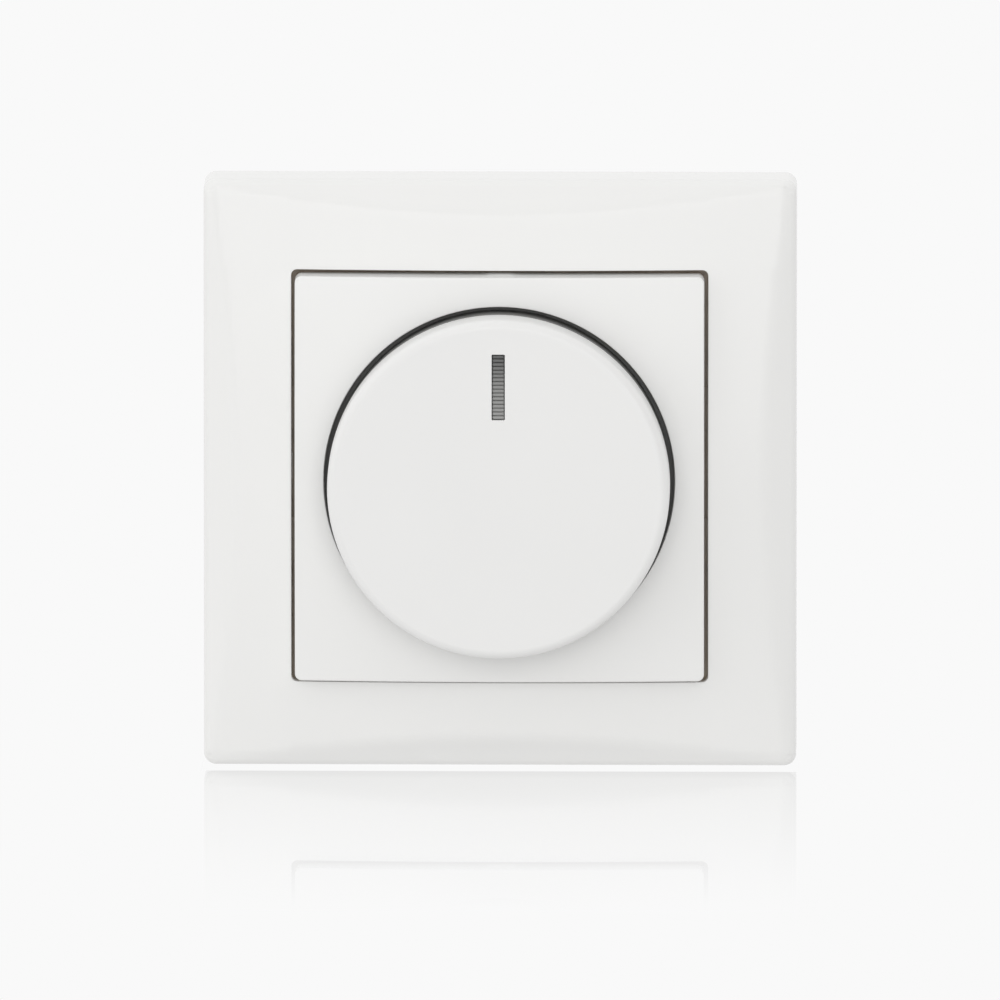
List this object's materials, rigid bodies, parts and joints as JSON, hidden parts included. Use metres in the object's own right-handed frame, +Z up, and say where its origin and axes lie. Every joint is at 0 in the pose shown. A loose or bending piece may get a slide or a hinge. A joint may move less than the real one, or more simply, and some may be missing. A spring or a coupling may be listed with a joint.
{
  "type": "rotary dimmer switch",
  "caption": "Flush-mounted rotary dimmer: square domed cover frame, centre plate and a round knob with a ribbed pointer that turns and presses, on a mounting ring with claws and a rear module.",
  "frame": {"origin": "Middle of the mounting ring's rear face, on the wall surface and on the knob's axis", "axes": "+Z up, the front with the knob faces -Y, +Y goes into the wall"},
  "size_m": [0.08, 0.047, 0.08],
  "materials": {
    "white_cover": "satin",
    "white_knob": "satin",
    "white_shaft": "satin",
    "grey_plastic": "matte",
    "grey_lens": "satin",
    "dark_housing": "matte",
    "black_plastic": "matte",
    "red_plastic": "satin",
    "zinc_sheet": "satin",
    "plated_steel": "satin",
    "spring_steel": "satin",
    "brass": "satin",
    "carbon_track": "matte",
    "green_board": "satin",
    "ferrite": "matte",
    "copper_wire": "gloss",
    "capacitor_red": "gloss",
    "fuse_glass": "gloss"
  },
  "bodies": {
    "base": {"cover_frame": "white_cover", "centre_plate": "white_cover", "support_plate": "zinc_sheet", "module_lid": "dark_housing", "module_housing": "dark_housing", "module_screws": "plated_steel", "threaded_bushing": "brass", "bushing_nut": "plated_steel", "lock_washer": "plated_steel", "control_housing": "plated_steel", "resistor_track": "carbon_track", "switch_housing": "black_plastic", "return_spring": "spring_steel", "circuit_board": "green_board", "triac": "black_plastic", "choke_core": "ferrite", "choke_winding": "copper_wire", "film_capacitor": "capacitor_red", "fuse_tube": "fuse_glass", "fuse_caps": "plated_steel", "fuse_clips": "brass", "terminal_clamps": "brass", "terminal_screws": "plated_steel"},
    "plunger": {"switch_plunger": "red_plastic"},
    "knob": {"knob_cap": "white_knob", "knob_core": "grey_plastic", "indicator_window": "grey_lens", "hub_clip": "spring_steel", "shaft": "white_shaft"},
    "wiper": {"wiper_rotor": "black_plastic", "wiper_contact": "brass"},
    "right_claw": {"claw_right": "zinc_sheet"},
    "left_claw": {"claw_left": "zinc_sheet"},
    "right_claw_screw": {"claw_screw_right": "plated_steel"},
    "left_claw_screw": {"claw_screw_left": "plated_steel"}
  },
  "joints": [
    {"name": "knob_press", "type": "slide", "parent": "base", "child": "plunger", "axis": [0, 1, 0], "range_m": [0, 0.0018], "stiffness_N_per_m": 800, "springref_m": -0.0015, "deforming": ["return_spring"]},
    {"name": "knob_turn", "type": "hinge", "parent": "plunger", "child": "knob", "pos_m": [0, 0, 0], "axis": [0, 1, 0], "range_deg": [-135, 135]},
    {"name": "wiper_turn", "type": "hinge", "parent": "base", "child": "wiper", "pos_m": [0, 0, 0], "axis": [0, 1, 0], "range_deg": [-135, 135]},
    {"name": "claw_right_swing", "type": "hinge", "parent": "base", "child": "right_claw", "pos_m": [0.0217, 0.0044, 0], "axis": [0, 0, -1], "range_deg": [0, 25]},
    {"name": "claw_left_swing", "type": "hinge", "parent": "base", "child": "left_claw", "pos_m": [-0.0217, 0.0044, 0], "axis": [0, 0, 1], "range_deg": [0, 25]},
    {"name": "claw_screw_right_turn", "type": "hinge", "parent": "base", "child": "right_claw_screw", "pos_m": [0.024, 0, 0], "axis": [0, 1, 0], "range_deg": [0, 720]},
    {"name": "claw_screw_left_turn", "type": "hinge", "parent": "base", "child": "left_claw_screw", "pos_m": [-0.024, 0, 0], "axis": [0, 1, 0], "range_deg": [0, 720]}
  ],
  "couplings": [
    {"joint": "wiper_turn", "follows": "knob_turn", "ratio": 1},
    {"joint": "claw_screw_right_turn", "follows": "claw_right_swing", "ratio": 28.8},
    {"joint": "claw_screw_left_turn", "follows": "claw_left_swing", "ratio": 28.8}
  ]
}
